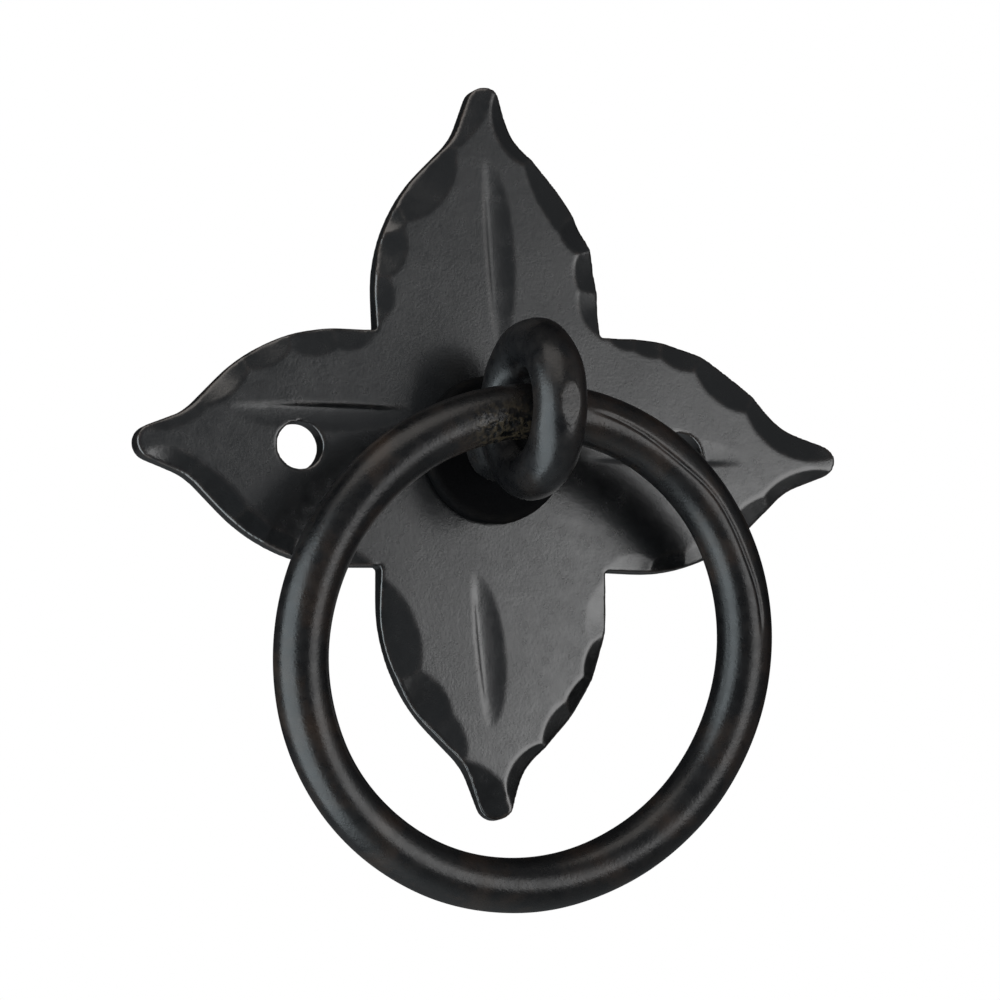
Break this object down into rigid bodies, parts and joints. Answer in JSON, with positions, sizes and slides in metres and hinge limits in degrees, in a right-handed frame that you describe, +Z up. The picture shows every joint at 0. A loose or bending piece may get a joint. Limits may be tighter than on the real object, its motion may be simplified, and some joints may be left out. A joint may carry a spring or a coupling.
{
  "type": "door knocker",
  "caption": "Hand-forged ring knocker: a round-bar ring hangs in an eye riveted through a round boss and a leaf-shaped backplate with hammered edges and veins.",
  "frame": {"origin": "middle of the backplate's flat back face, on the axis of the eye's stem, which is the face that lies on the door", "axes": "+Y into the door (the back face's outward normal), the knocker stands out along -Y, +Z up along the top leaf, +X to the right seen from the front"},
  "size_m": [0.1322, 0.0404, 0.149],
  "materials": {
    "plate_iron": "black waxed hammered sheet, satin",
    "boss_iron": "black scale, matt",
    "eye_iron": "black waxed forging, satin",
    "ring_iron": "black waxed round bar, satin with rubbed edges"
  },
  "bodies": {
    "mount": {"backplate": "plate_iron", "boss": "boss_iron", "eye": "eye_iron"},
    "ring": {"ring": "ring_iron"}
  },
  "joints": [
    {"name": "ring_swing", "type": "hinge", "parent": "mount", "child": "ring", "pos_m": [0.0021, -0.02437, 0.00425], "axis": [-0.9991, -0.0427, 0], "range_deg": [0, 153.4]}
  ]
}
